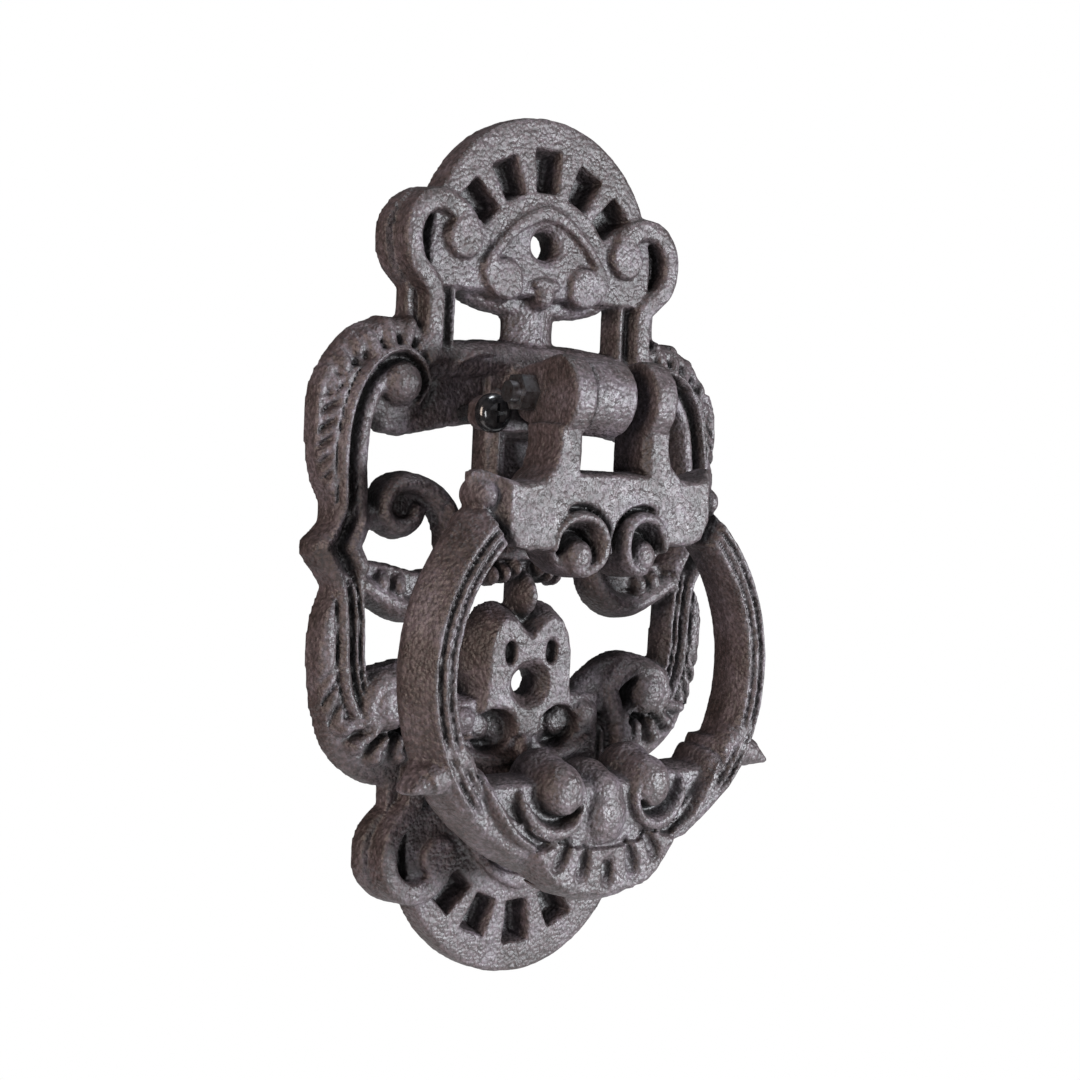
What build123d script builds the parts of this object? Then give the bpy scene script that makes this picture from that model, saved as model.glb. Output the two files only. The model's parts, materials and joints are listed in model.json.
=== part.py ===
"""Cast-iron door knocker: an openwork back plate and a ring that swings on a hinge bolt.

Millimetres. X is to the right of a person facing the door, Z is up, and the door's face is the
plane Y = 0, so everything in front of the door has a negative Y. The origin is the middle of the
plate's flat back. "Height" below means the distance in front of the door.
"""
import os

from build123d import *

# Driving dimensions of the whole knocker
PLATE_LENGTH = 210.0
PLATE_HALF_WIDTH = 59.4
SCREW_HOLE_SPACING = 108.4
TOP_HOLE_Z = 75.2
HOLE_RADIUS = 3.25
COUNTERSINK_RADIUS = 5.3

# Heights of the plate's features in front of the door
FAN_HEIGHT = 7.7
VOLUTE_HEIGHT = 10.5
SCROLL_HEIGHT = 10.0
BLOCK_HEIGHT = 9.25
COLUMN_HEIGHT = 7.0
WEB_HEIGHT = 5.0
POCKET_DEPTH = 4.0

# Plate features
FAN_RADIUS = 30.5
FAN_CENTRE_Z = PLATE_LENGTH / 2 - FAN_RADIUS
POCKET_CENTRE_Z = 70.5
POCKET_RADII = (18.5, 28.5)
POCKET_ANGLES = (-53, -27, 0, 27, 53)
POCKET_HALF_ANGLE = 8.5
VOLUTE_CENTRE = (31.0, 74.0)
VOLUTE_RADIUS = 12.3
EYE_CENTRE = (25.0, 74.5)
EYE_RADIUS = 4.5
BOSS_CENTRE = (35.8, 38.5)
BOSS_RADIUS = 4.8
ANVIL_Z = -62.0
ANVIL_RADIUS = 8.0
ANVIL_HEIGHT = 17.0

# Hinge: the bolt's axis, and the two eyes that it joins
PIN_HEIGHT = 25.0
PIN_Z = 38.0
BOLT_RADIUS = 2.5
EAR_BORE_RADIUS = 2.55
BARREL_BORE_RADIUS = 2.58
BARREL_X = -1.8
BARREL_HALF_WIDTH = 6.2
BARREL_NOSE = (33.0, 37.5, 9.0)
EAR_INNER_X = 8.7
EAR_OUTER_X = 14.7
EAR_NOSE = (34.6, 37.3, 9.6)
KNUCKLE_RADIUS = 7.0
NUT_ACROSS_FLATS = 8.0
NUT_THICKNESS = 4.0
BOLT_HEAD_THICKNESS = 3.5
BOLT_END_BEYOND_NUT = 2.2

# Knocker ring
RING_CENTRE_Z = -26.0
RING_OUTER_RADIUS = 51.5
RING_INNER_RADIUS = 42.5
RING_BACK = 27.0
RING_PARTING = 33.0
RING_FRONT = 42.0
SHOULDER_FRONT = 40.0
CURL_CENTRE = (10.0, 3.5)
CURL_RADIUS = 6.8
SCROLL_CENTRE = (14.2, -54.6)
SCROLL_RADIUS = 9.6
SCROLL_EYE_RADIUS = 4.2
SCROLL_EYE_HEIGHT = 46.0
STRIKE_GAP = 0.3

# Loose fixing screw, an M4 x 25 with a pan head, in its lug
SCREW_X = -19.8
SCREW_Z = 33.0
SCREW_SEAT = 17.0
SCREW_LENGTH = 25.0
SCREW_RADIUS = 2.0
SCREW_HOLE_RADIUS = 2.1
SCREW_HEAD_RADIUS = 4.7
SCREW_HEAD_HEIGHT = 3.1
LUG_THICKNESS = 5.0
LUG_RADIUS = 4.2


def slab(sketch, front, back=0.0):
    """A flat sketch of X and Z, made solid between two heights in front of the door."""
    return extrude(Plane.XZ.offset(back) * sketch, amount=front - back, dir=(0, -1, 0))


def both_sides(shape):
    """The shape and its mirror image across the middle plane."""
    return shape + mirror(shape, about=Plane.YZ)


def blob(*points):
    """A closed smooth outline through a few points."""
    return make_face(Spline(*points, periodic=True))


def disc(centre, radius):
    """A round sketch at (X, Z)."""
    return Pos(*centre) * Circle(radius)


def across(profile, x_from, x_to):
    """A profile drawn as (height, Z), made solid from one X to another."""
    side = Plane(origin=(x_from, 0, 0), x_dir=(0, -1, 0), z_dir=(-1, 0, 0))
    return extrude(side * profile, amount=x_from - x_to, dir=(-1, 0, 0))


def cross_bore(radius, x_from, x_to):
    """A round bar along X on the hinge axis."""
    return across(disc((PIN_HEIGHT, PIN_Z), radius), x_from, x_to)


def fan_head():
    """The upper end of the plate: fan, cartouche, two volutes and their stems."""
    half_disc = disc((0, FAN_CENTRE_Z), FAN_RADIUS) & Pos(0, 84) * Rectangle(80, 46)
    head = slab(half_disc, FAN_HEIGHT)
    for angle in POCKET_ANGLES:
        wedge = Polygon(
            (0, 0),
            Vector(0, 40).rotate(Axis.Z, -POCKET_HALF_ANGLE),
            Vector(0, 40).rotate(Axis.Z, POCKET_HALF_ANGLE),
            align=None,
        )
        rung = wedge & (Circle(POCKET_RADII[1]) - Circle(POCKET_RADII[0]))
        pocket = Pos(0, POCKET_CENTRE_Z) * Rot(0, 0, angle) * rung
        head -= slab(pocket, FAN_HEIGHT + 1, FAN_HEIGHT - POCKET_DEPTH)
    cartouche = blob((0, 86), (12, 80), (20, 71), (17, 62), (8, 58.5), (-8, 58.5), (-17, 62), (-20, 71), (-12, 80))
    inside = blob((0, 82.5), (10, 77), (16, 71), (10, 66), (0, 69), (-10, 66), (-16, 71), (-10, 77))
    head += slab(cartouche, BLOCK_HEIGHT)
    head -= slab(inside, BLOCK_HEIGHT + 1, BLOCK_HEIGHT - 3)
    head += slab(Pos(0, 55) * Rectangle(11, 14), WEB_HEIGHT)
    volute = slab(disc(VOLUTE_CENTRE, VOLUTE_RADIUS), VOLUTE_HEIGHT)
    volute -= slab(disc(EYE_CENTRE, EYE_RADIUS + 3) - disc(EYE_CENTRE, EYE_RADIUS), VOLUTE_HEIGHT + 1, VOLUTE_HEIGHT - 3)
    volute += slab(Pos(28.5, 56) * Rectangle(13, 22), BLOCK_HEIGHT - 1)
    return head + both_sides(volute)


def upper_scroll():
    """The right-hand upper C-scroll, from the crossbar round to the cusp, with its boss."""
    outline = blob(
        (22, 50.5), (36, 54.6), (47, 51.8), (55.5, 42), (59.3, 31), (58.2, 19), (54.4, 8), (56, 3),
        (52, -1), (46, 1), (46.5, 8), (47.3, 20), (45, 28), (36, 27.6), (27, 31.5), (23, 40),
    )
    boss = Plane.XZ.offset(SCROLL_HEIGHT - 1) * Pos(*BOSS_CENTRE) * Sphere(BOSS_RADIUS)
    return slab(outline, SCROLL_HEIGHT) + boss


def lower_scroll():
    """The right-hand lower C-scroll, from the cusp round to the plate's lower end."""
    outline = blob(
        (46, 1), (54.4, 3), (58.7, 0), (54, -7.5), (56.6, -21), (55.6, -34), (49.4, -46), (40, -53.5),
        (26, -55), (16, -50), (14, -38), (20, -29), (29, -26), (38, -27.6), (45.4, -25), (46.6, -14), (45, -6),
    )
    return slab(outline, SCROLL_HEIGHT)


def tendrils():
    """The right-hand pair of curls between the column and the cusp."""
    upper_curl = blob((48, 8), (44, 15), (36, 18.6), (28, 15), (23, 9), (13, 9), (13, -2), (22, -3), (28, 3), (36, 4), (44, 5))
    lower_curl = blob((13, -1), (21, -1), (27, -4), (33, -6), (41, -5), (48, -7), (46, -12), (37, -16), (27, -14.5), (18, -9))
    return slab(upper_curl, BLOCK_HEIGHT - 1) + slab(lower_curl, BLOCK_HEIGHT - 1)


def column():
    """The middle of the plate: crossbar, column, lower screw block and pendant leaf."""
    crossbar = blob((0, 51.5), (20, 51), (30, 48), (28, 42), (14, 41), (-14, 41), (-28, 42), (-30, 48), (-20, 51))
    shape = slab(crossbar, BLOCK_HEIGHT)
    shape += slab(Pos(0, 22) * Rectangle(29, 54), COLUMN_HEIGHT)
    shape -= slab(Pos(0, 14) * Rectangle(9, 22), COLUMN_HEIGHT + 1, COLUMN_HEIGHT - 3)
    pendant = blob((0, -3), (2.8, -9), (0, -18), (-2.8, -9))
    shape += slab(pendant, BLOCK_HEIGHT)
    lobes = disc((5.6, -23), 7.2) + disc((-5.6, -23), 7.2) + Pos(0, -32) * Rectangle(25.6, 18)
    shape += slab(lobes, BLOCK_HEIGHT)
    return shape


def lower_end():
    """The lower end of the plate: the mirrored fan, the web above it and the anvil."""
    shape = mirror(fan_head(), about=Plane.XY)
    shape += slab(Pos(0, -50) * Rectangle(46, 22), WEB_HEIGHT)
    anvil = Cone(ANVIL_RADIUS + 4, ANVIL_RADIUS, ANVIL_HEIGHT, align=(Align.CENTER, Align.CENTER, Align.MIN))
    return shape + Plane.XZ * Pos(0, ANVIL_Z) * anvil


def hinge_arm():
    """The arm that stands out of the column and ends in the bored barrel."""
    nose_height, nose_z, nose_radius = BARREL_NOSE
    knuckle = disc((PIN_HEIGHT, PIN_Z), KNUCKLE_RADIUS + 0.8)
    profile = make_hull(knuckle.edges() + disc((nose_height, nose_z), nose_radius).edges())
    profile += Pos(PIN_HEIGHT / 2, PIN_Z) * Rectangle(PIN_HEIGHT, 15)
    arm = across(profile, BARREL_X + BARREL_HALF_WIDTH, BARREL_X - BARREL_HALF_WIDTH)
    return arm - cross_bore(BARREL_BORE_RADIUS, EAR_INNER_X, -EAR_INNER_X)


def screw_lug():
    """The small drilled lug beside the column that carries the loose screw."""
    reach = (SCREW_X - BARREL_HALF_WIDTH + 1) / 2
    arm = Pos(reach, SCREW_Z) * Rectangle(BARREL_HALF_WIDTH - 1 + abs(SCREW_X) - 9, 2 * LUG_RADIUS)
    back = SCREW_SEAT - LUG_THICKNESS
    lug = slab(arm + disc((SCREW_X, SCREW_Z), LUG_RADIUS), SCREW_SEAT, back)
    return lug - slab(disc((SCREW_X, SCREW_Z), SCREW_HOLE_RADIUS), SCREW_SEAT + 1, back - 1)


def screw_hole(z):
    """A through hole with a countersink, to cut from the plate."""
    hole = slab(disc((0, z), HOLE_RADIUS), BLOCK_HEIGHT + 1, -1)
    depth = COUNTERSINK_RADIUS - HOLE_RADIUS
    sink = Cone(HOLE_RADIUS, COUNTERSINK_RADIUS, depth, align=(Align.CENTER, Align.CENTER, Align.MIN))
    return hole + Plane.XZ.offset(BLOCK_HEIGHT - depth) * Pos(0, z) * sink


def back_plate():
    """The whole openwork casting."""
    plate = fan_head() + lower_end() + column()
    plate += both_sides(upper_scroll() + lower_scroll() + tendrils())
    plate += hinge_arm() + screw_lug()
    return plate - screw_hole(TOP_HOLE_Z) - screw_hole(TOP_HOLE_Z - SCREW_HOLE_SPACING)


def ring_body():
    """The round of the ring: a drafted outer flank, a front bead and a flat inner wall."""
    section = Polygon(
        (RING_INNER_RADIUS, RING_BACK + 2),
        (RING_INNER_RADIUS, RING_FRONT - 1),
        (RING_INNER_RADIUS + 1, RING_FRONT),
        (RING_INNER_RADIUS + 3.5, RING_FRONT),
        (RING_OUTER_RADIUS, RING_PARTING + 1),
        (RING_OUTER_RADIUS, RING_PARTING - 1),
        (RING_OUTER_RADIUS - 4, RING_BACK),
        (RING_INNER_RADIUS + 2, RING_BACK),
        align=None,
    )
    turning_plane = Plane(origin=(0, 0, RING_CENTRE_Z), x_dir=(1, 0, 0), z_dir=(0, 0, 1))
    axis = Axis((0, 0, RING_CENTRE_Z), (0, 1, 0))
    return revolve(turning_plane * mirror(section, about=Plane.XZ), axis)


def shoulder():
    """The plate across the ring's top, with its horns, two curls and the necks of the ears."""
    half = Polygon(
        (0, 20.3), (9.4, 20.3), (9.4, 30), (16.5, 30), (16.5, 24), (22, 18.2), (28, 16.6), (34.5, 20.6),
        (35.4, 15), (33, 8), (27, 3), (17, 2), (10, 0), (0, 1.5),
        align=None,
    )
    plate = slab(half, SHOULDER_FRONT, RING_BACK + 1)
    curl = slab(disc(CURL_CENTRE, CURL_RADIUS), SHOULDER_FRONT + 1.5, RING_BACK + 2)
    return both_sides(plate + curl)


def ears():
    """The two bored ears that stand up on each side of the barrel."""
    nose_height, nose_z, nose_radius = EAR_NOSE
    knuckle = disc((PIN_HEIGHT, PIN_Z), KNUCKLE_RADIUS)
    profile = make_hull(knuckle.edges() + disc((nose_height, nose_z), nose_radius).edges())
    profile += Pos((RING_BACK + SHOULDER_FRONT) / 2, 27) * Rectangle(SHOULDER_FRONT - RING_BACK - 1, 12)
    ear = across(profile, EAR_OUTER_X, EAR_INNER_X)
    return both_sides(ear - cross_bore(EAR_BORE_RADIUS, EAR_OUTER_X + 1, EAR_INNER_X - 1))


def ring_foot():
    """The bottom of the ring: two scrolls, the shell between them, the barbs and the striker."""
    scroll = slab(disc(SCROLL_CENTRE, SCROLL_RADIUS), RING_FRONT, RING_BACK + 2)
    eye = disc(SCROLL_CENTRE, SCROLL_EYE_RADIUS)
    scroll += slab(eye, SCROLL_EYE_HEIGHT, RING_FRONT - 1)
    barb = slab(Polygon((43, -44), (52.3, -50), (42, -56), align=None), SHOULDER_FRONT - 2, RING_PARTING - 1)
    shell = disc((0, -64.5), 14.5) + Pos(0, -56) * Rectangle(20, 12)
    foot = both_sides(scroll + barb) + slab(shell, RING_FRONT + 1, RING_BACK + 1)
    reach = RING_BACK + 2 - ANVIL_HEIGHT - STRIKE_GAP
    striker = Cone(ANVIL_RADIUS - 2, ANVIL_RADIUS, reach, align=(Align.CENTER, Align.CENTER, Align.MIN))
    return foot + Plane.XZ.offset(ANVIL_HEIGHT + STRIKE_GAP) * Pos(0, ANVIL_Z) * striker


def knocker_ring():
    """The whole swinging casting."""
    clear_of_barrel = Pos(0, -PIN_HEIGHT - 6, PIN_Z) * Box(2 * EAR_INNER_X, 36, 34.8)
    body = ring_body() - Pos(0, -RING_PARTING, 30) * Box(54, 40, 56)
    return body + (shoulder() + ears() - clear_of_barrel) + ring_foot()


def hexagon(across_flats):
    """A hexagonal sketch by its width across flats."""
    return RegularPolygon(across_flats / 2, 6, major_radius=False)


def hinge_bolt():
    """An M5 bolt with a hexagonal head on the right, its end beyond the nut on the left."""
    end_x = -(EAR_OUTER_X + NUT_THICKNESS + BOLT_END_BEYOND_NUT)
    shank = cross_bore(BOLT_RADIUS, EAR_OUTER_X, end_x)
    head = Pos(PIN_HEIGHT, PIN_Z) * hexagon(NUT_ACROSS_FLATS)
    return shank + across(head, EAR_OUTER_X + BOLT_HEAD_THICKNESS, EAR_OUTER_X)


def hinge_nut():
    """An M5 hexagonal nut against the left ear."""
    nut = Pos(PIN_HEIGHT, PIN_Z) * (hexagon(NUT_ACROSS_FLATS) - Circle(EAR_BORE_RADIUS))
    return across(nut, -EAR_OUTER_X, -EAR_OUTER_X - NUT_THICKNESS)


def fixing_screw():
    """A pan-head screw with a cross recess, its head on the lug and its shank towards the door."""
    place = Pos(SCREW_X, SCREW_Z)
    head = slab(place * Circle(SCREW_HEAD_RADIUS), SCREW_SEAT + SCREW_HEAD_HEIGHT, SCREW_SEAT)
    rim = head.edges().filter_by(GeomType.CIRCLE).sort_by(Axis.Y)[0]
    head = fillet(rim, SCREW_HEAD_HEIGHT * 0.8)
    cross = Rectangle(4.6, 0.9) + Rectangle(0.9, 4.6)
    front = SCREW_SEAT + SCREW_HEAD_HEIGHT
    head -= slab(place * cross, front + 1, front - 1.8)
    return head + slab(place * Circle(SCREW_RADIUS), SCREW_SEAT, SCREW_SEAT - SCREW_LENGTH)


PARTS = {
    "back_plate": back_plate(),
    "knocker_ring": knocker_ring(),
    "hinge_bolt": hinge_bolt(),
    "hinge_nut": hinge_nut(),
    "fixing_screw": fixing_screw(),
}

os.makedirs("parts", exist_ok=True)
for name, shape in PARTS.items():
    export_step(shape, f"parts/{name}.step")
    box = shape.bounding_box()
    size = " x ".join(f"{side:.1f}" for side in (box.size.X, box.size.Y, box.size.Z))
    print(f"{name}: {len(shape.solids())} solid(s), {shape.volume / 1000:.1f} cm3, {size} mm")
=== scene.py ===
"""The looks of a cast-iron door knocker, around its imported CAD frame.

Both castings are modelled as relief: every bar, dome and groove is a height above the door as a
function of X and Z, the heights are blended as a pattern maker's fillets would blend them, and
the result is meshed as one smooth closed skin. Lengths are millimetres until the mesh is made.
"""
import json
import math

import bpy
import numpy as np
from mathutils import Matrix, Vector, noise


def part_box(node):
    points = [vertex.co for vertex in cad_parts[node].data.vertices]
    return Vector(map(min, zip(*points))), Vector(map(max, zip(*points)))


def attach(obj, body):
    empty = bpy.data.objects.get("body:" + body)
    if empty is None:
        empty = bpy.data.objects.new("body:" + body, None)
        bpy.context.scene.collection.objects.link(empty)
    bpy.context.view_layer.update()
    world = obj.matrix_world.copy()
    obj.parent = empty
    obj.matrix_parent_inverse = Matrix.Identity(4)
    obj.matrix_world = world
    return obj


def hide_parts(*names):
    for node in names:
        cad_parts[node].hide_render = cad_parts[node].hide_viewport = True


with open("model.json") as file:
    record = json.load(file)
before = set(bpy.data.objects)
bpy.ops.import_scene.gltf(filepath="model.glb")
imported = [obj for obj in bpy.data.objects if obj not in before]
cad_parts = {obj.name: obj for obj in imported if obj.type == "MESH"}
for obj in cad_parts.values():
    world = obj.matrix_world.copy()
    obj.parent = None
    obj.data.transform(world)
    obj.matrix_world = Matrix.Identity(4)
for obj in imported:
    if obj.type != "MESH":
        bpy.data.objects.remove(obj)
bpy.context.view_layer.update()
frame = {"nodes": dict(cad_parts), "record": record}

MM = 0.001
# Grid spacing, the height that stands for no iron, and how steeply heights fall outside a shape
PLATE_STEP = 0.62
RING_STEP = 0.55
OUTSIDE = -6.0
WALL_SLOPE = 3.0

# The hinge, from the frame
HINGE = next(j for j in frame["record"]["behaviour"]["joints"] if j["name"] == "ring_hinge")
PIN_HEIGHT = -HINGE["pos_m"][1] / MM
PIN_Z = HINGE["pos_m"][2] / MM
SCREW_X = sum(corner.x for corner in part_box("fixing_screw")) / 2 / MM
SCREW_Z = sum(corner.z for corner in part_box("fixing_screw")) / 2 / MM

# The ring casting
PARTING = 33.0
RING_CENTRE_Z = -26.0
RING_BACK = 27.0
FOOT_LEAN = 0.018
EAR_INNER, EAR_OUTER = 8.75, 14.65
BARREL_X = -1.8
BARREL_HALF_WIDTH = 6.2
ANVIL_Z = -62.0
ANVIL_HEIGHT = 17.0

# Bores, with the clearance that the visible skin leaves around each shank
BARREL_BORE = 2.6
EAR_BORE = 2.55
LUG_BORE = 2.1
SCREW_HOLE_RADIUS = 3.25
SCREW_HOLE_Z = (75.2, -33.2)


# ---------------------------------------------------------------- relief drawing

def smooth_max(a, b, blend):
    """The larger of two heights, with a fillet where they meet and no change elsewhere."""
    h = np.maximum(blend - np.abs(a - b), 0)
    return np.maximum(a, b) + h * h / (4 * blend)


def smooth_min(a, b, blend):
    return -smooth_max(-a, -b, blend)


def smooth_line(points, per_span=8):
    """A smooth curve through given rows of x, z, half width and height."""
    p = np.array(points, float)
    if len(p) == 2:
        return p
    p = np.vstack([2 * p[0] - p[1], p, 2 * p[-1] - p[-2]])
    t = np.linspace(0, 1, per_span, endpoint=False)[:, None]
    rows = []
    for a, b, c, d in zip(p, p[1:], p[2:], p[3:]):
        rows.append(0.5 * (2 * b + (c - a) * t + (2 * a - 5 * b + 4 * c - d) * t * t
                           + (3 * b - a - 3 * c + d) * t ** 3))
    return np.vstack(rows + [p[-2:-1]])


class Stroke:
    """Where each grid point lies beside a curve: side, distance, and the curve's own width."""

    def __init__(self, x, z, points):
        line = smooth_line(points)
        spans = np.hypot(*np.diff(line[:, :2], axis=0).T)
        travelled = np.concatenate([[0], np.cumsum(spans)])
        self.length = travelled[-1]
        nearest = np.full(x.shape, 1e9)
        self.side = np.ones(x.shape)
        self.along = np.zeros(x.shape)
        self.half = np.ones(x.shape)
        self.top = np.zeros(x.shape)
        for i, (a, b) in enumerate(zip(line, line[1:])):
            dx, dz = b[:2] - a[:2]
            u = np.clip(((x - a[0]) * dx + (z - a[1]) * dz) / (dx * dx + dz * dz), 0, 1)
            gap = np.hypot(x - a[0] - u * dx, z - a[1] - u * dz)
            near = gap < nearest
            nearest[near] = gap[near]
            self.side[near] = np.sign(dx * (z - a[1]) - dz * (x - a[0]))[near]
            self.along[near] = (travelled[i] + u * spans[i])[near]
            self.half[near] = (a[2] + u * (b[2] - a[2]))[near]
            self.top[near] = (a[3] + u * (b[3] - a[3]))[near]
        self.gap = nearest

    def bar(self, power=2.0, base=0.0):
        """A rounded bar: full height on the curve, falling to the base at its half width."""
        v = self.gap / self.half
        inside = np.clip(1 - np.minimum(v, 1) ** power, 0, 1) ** (1 / power)
        wall = base - WALL_SLOPE * (self.gap - self.half)
        return np.where(v < 1, base + (self.top - base) * inside, wall)


def plateau(inside, height, draft, power=3.0, base=0.0):
    """A flat top with rounded drafted sides, from a distance that is positive inside."""
    u = np.clip(inside / draft, 0, 1)
    top = base + (height - base) * (1 - (1 - u) ** power) ** (1 / power)
    return np.where(inside > 0, top, base + WALL_SLOPE * inside)


def moulding(stroke, *knots):
    """A moulded section swept along a curve: offsets, positive on its left, and their heights."""
    offsets, heights = zip(*knots)
    return np.interp(stroke.side * stroke.gap, offsets, heights)


def fade(value, start, end):
    """0 at the start, 1 at the end, smooth between."""
    u = np.clip((value - start) / (end - start), 0, 1)
    return u * u * (3 - 2 * u)


def dome(x, z, centre, radii, height, base=0.0, power=2.0):
    """A rounded boss with an elliptical foot."""
    rho = np.hypot((x - centre[0]) / radii[0], (z - centre[1]) / radii[1])
    top = base + (height - base) * np.clip(1 - np.minimum(rho, 1) ** power, 0, 1) ** (1 / power)
    return np.where(rho < 1, top, base - WALL_SLOPE * (rho - 1) * min(radii))


def box_inside(x, z, x0, x1, z0, z1):
    """Distance inside an upright rectangle, positive inside."""
    return np.minimum(np.minimum(x - x0, x1 - x), np.minimum(z - z0, z1 - z))


def shape_inside(x, z, points, closed_curve=True):
    """Distance inside a closed outline, positive inside."""
    p = np.array(points, float)
    if closed_curve:
        pad = np.vstack([p[-2:], p, p[:2]])
        rows = np.hstack([pad, np.zeros((len(pad), 2))])
        p = smooth_line(rows, 6)[6:-7, :2]
    gap = np.full(x.shape, 1e9)
    inside = np.zeros(x.shape, bool)
    for a, b in zip(p, np.roll(p, -1, axis=0)):
        dx, dz = b - a
        if dx == 0 and dz == 0:
            continue
        u = np.clip(((x - a[0]) * dx + (z - a[1]) * dz) / (dx * dx + dz * dz), 0, 1)
        gap = np.minimum(gap, np.hypot(x - a[0] - u * dx, z - a[1] - u * dz))
        crosses = (a[1] > z) != (b[1] > z)
        reach = a[0] + (z - a[1]) * dx / (dz if dz else 1e-9)
        inside ^= crosses & (x < reach)
    return np.where(inside, gap, -gap)


def mirrored(top, half, bottom):
    """A closed outline from its right half and the points where it crosses the middle."""
    return [top] + half + [bottom] + [(-px, pz) for px, pz in reversed(half)]


def groove(gap, width, depth):
    """A soft valley along a line, as a depth to take away."""
    return depth * np.exp(-((gap / width) ** 2))


# ---------------------------------------------------------------- skinning

class Block:
    """A box of space on a regular grid, holding the distance from the iron's surface."""

    def __init__(self, low, high, step):
        self.step = step
        self.axes = [np.arange(a, b + step, step) for a, b in zip(low, high)]
        self.value = None

    def relief_grid(self):
        """X and Z over the face of the door."""
        return np.meshgrid(self.axes[0], self.axes[2], indexing="ij")

    def from_relief(self, front, back=None):
        """Fill the block from the heights of the front skin and, if curved, the back skin."""
        height = self.axes[1][None, :, None]

        def distance(surface):
            slope = np.hypot(*np.gradient(surface, self.step))
            return (height - surface[:, None, :]) / np.sqrt(1 + slope * slope)[:, None, :]

        solid = distance(front)
        behind = -height if back is None else -distance(back)
        self.value = np.maximum(solid, behind).astype(np.float32)

    def region(self, low, high):
        """The slice of the block between two corners, with its coordinates."""
        cut = []
        for axis, a, b in zip(self.axes, low, high):
            cut.append(slice(np.searchsorted(axis, a), np.searchsorted(axis, b)))
        picked = [axis[c] for axis, c in zip(self.axes, cut)]
        return tuple(cut), np.meshgrid(*picked, indexing="ij", sparse=True)

    def blend(self, low, high, shape, fillet=1.5, cut=False):
        """Join a solid, given by its distance function, or cut it away."""
        window, (x, y, z) = self.region(low, high)
        old = self.value[window]
        new = shape(x, y, z)
        if cut:
            old = -old
        mix = np.maximum(fillet - np.abs(old - new), 0) / fillet
        merged = np.minimum(old, new) - mix * mix * fillet / 4
        self.value[window] = -merged if cut else merged

    def skin(self):
        """Vertices and quads of the surface where the distance is zero."""
        f = np.pad(self.value, 1, constant_values=3.0)
        solid = f < 0
        corners = [(i, j, k) for i in (0, 1) for j in (0, 1) for k in (0, 1)]
        size = [n - 1 for n in f.shape]

        def corner(values, c):
            return values[tuple(slice(o, o + n) for o, n in zip(c, size))]

        count = sum(corner(solid, c).astype(np.int8) for c in corners)
        cells = np.argwhere((count > 0) & (count < 8))
        number = np.full(size, -1, np.int64)
        number[tuple(cells.T)] = np.arange(len(cells))
        total = np.zeros((len(cells), 3))
        hits = np.zeros(len(cells))
        for a in corners:
            for axis in range(3):
                if a[axis]:
                    continue
                b = tuple(v + (n == axis) for n, v in enumerate(a))
                fa = f[tuple((cells + a).T)]
                fb = f[tuple((cells + b).T)]
                cross = (fa < 0) != (fb < 0)
                share = np.where(cross, fa / np.where(cross, fa - fb, 1), 0)
                point = np.array(a) + share[:, None] * np.eye(3)[axis]
                total += np.where(cross[:, None], point, 0)
                hits += cross
        vertices = cells + total / hits[:, None]
        quads = []
        for axis in range(3):
            u, v = [n for n in range(3) if n != axis]
            first = [slice(1, -1)] * 3
            first[axis] = slice(0, -1)
            second = list(first)
            second[axis] = slice(1, None)
            edge = solid[tuple(first)] != solid[tuple(second)]
            spot = np.argwhere(edge) + [0 if n == axis else 1 for n in range(3)]
            inside_first = solid[tuple(spot.T)]
            ring = []
            for du, dv in ((1, 1), (0, 1), (0, 0), (1, 0)):
                cell = spot.copy()
                cell[:, u] -= du
                cell[:, v] -= dv
                ring.append(number[tuple(cell.T)])
            face = np.stack(ring, axis=1)
            flip = inside_first if axis != 1 else ~inside_first
            face[~flip] = face[~flip][:, ::-1]
            quads.append(face)
        origin = np.array([axis[0] for axis in self.axes]) - self.step
        return vertices * self.step + origin, np.vstack(quads)


def casting(name, block, smoothing, roughness):
    """A mesh object from a block, with the lumpy surface that a sand mould leaves."""
    points, quads = block.skin()
    points = points * MM
    points[:, 1] *= -1
    mesh = bpy.data.meshes.new(name)
    mesh.from_pydata(points.tolist(), [], quads[:, ::-1].tolist())
    mesh.validate()
    piece = bpy.data.objects.new(name, mesh)
    bpy.context.scene.collection.objects.link(piece)
    modifier = piece.modifiers.new("soften", "SMOOTH")
    modifier.factor = 0.5
    modifier.iterations = smoothing
    apply_modifiers(piece)
    mesh = piece.data
    where = np.empty(len(mesh.vertices) * 3, np.float32)
    mesh.vertices.foreach_get("co", where)
    where = where.reshape(-1, 3)
    normals = np.empty(len(mesh.vertices) * 3, np.float32)
    mesh.vertices.foreach_get("normal", normals)
    normals = normals.reshape(-1, 3)
    lift = np.empty(len(where), np.float32)
    for i, p in enumerate(where):
        fine = noise.noise(Vector(p) * 620)
        broad = noise.noise(Vector(p) * 160 + Vector((7, 3, 1)))
        lift[i] = fine * roughness[0] + broad * roughness[1]
    lift[where[:, 1] > -0.35 * MM] = 0
    where += normals * (lift * MM)[:, None]
    mesh.vertices.foreach_set("co", where.ravel())
    mesh.polygons.foreach_set("use_smooth", np.ones(len(mesh.polygons), bool))
    mesh.update()
    return piece


def apply_modifiers(piece):
    """Bake a piece's modifiers into its mesh."""
    graph = bpy.context.evaluated_depsgraph_get()
    baked = bpy.data.meshes.new_from_object(piece.evaluated_get(graph))
    old = piece.data
    piece.modifiers.clear()
    piece.data = baked
    bpy.data.meshes.remove(old)
    baked.name = piece.name


# ---------------------------------------------------------------- back plate

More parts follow.
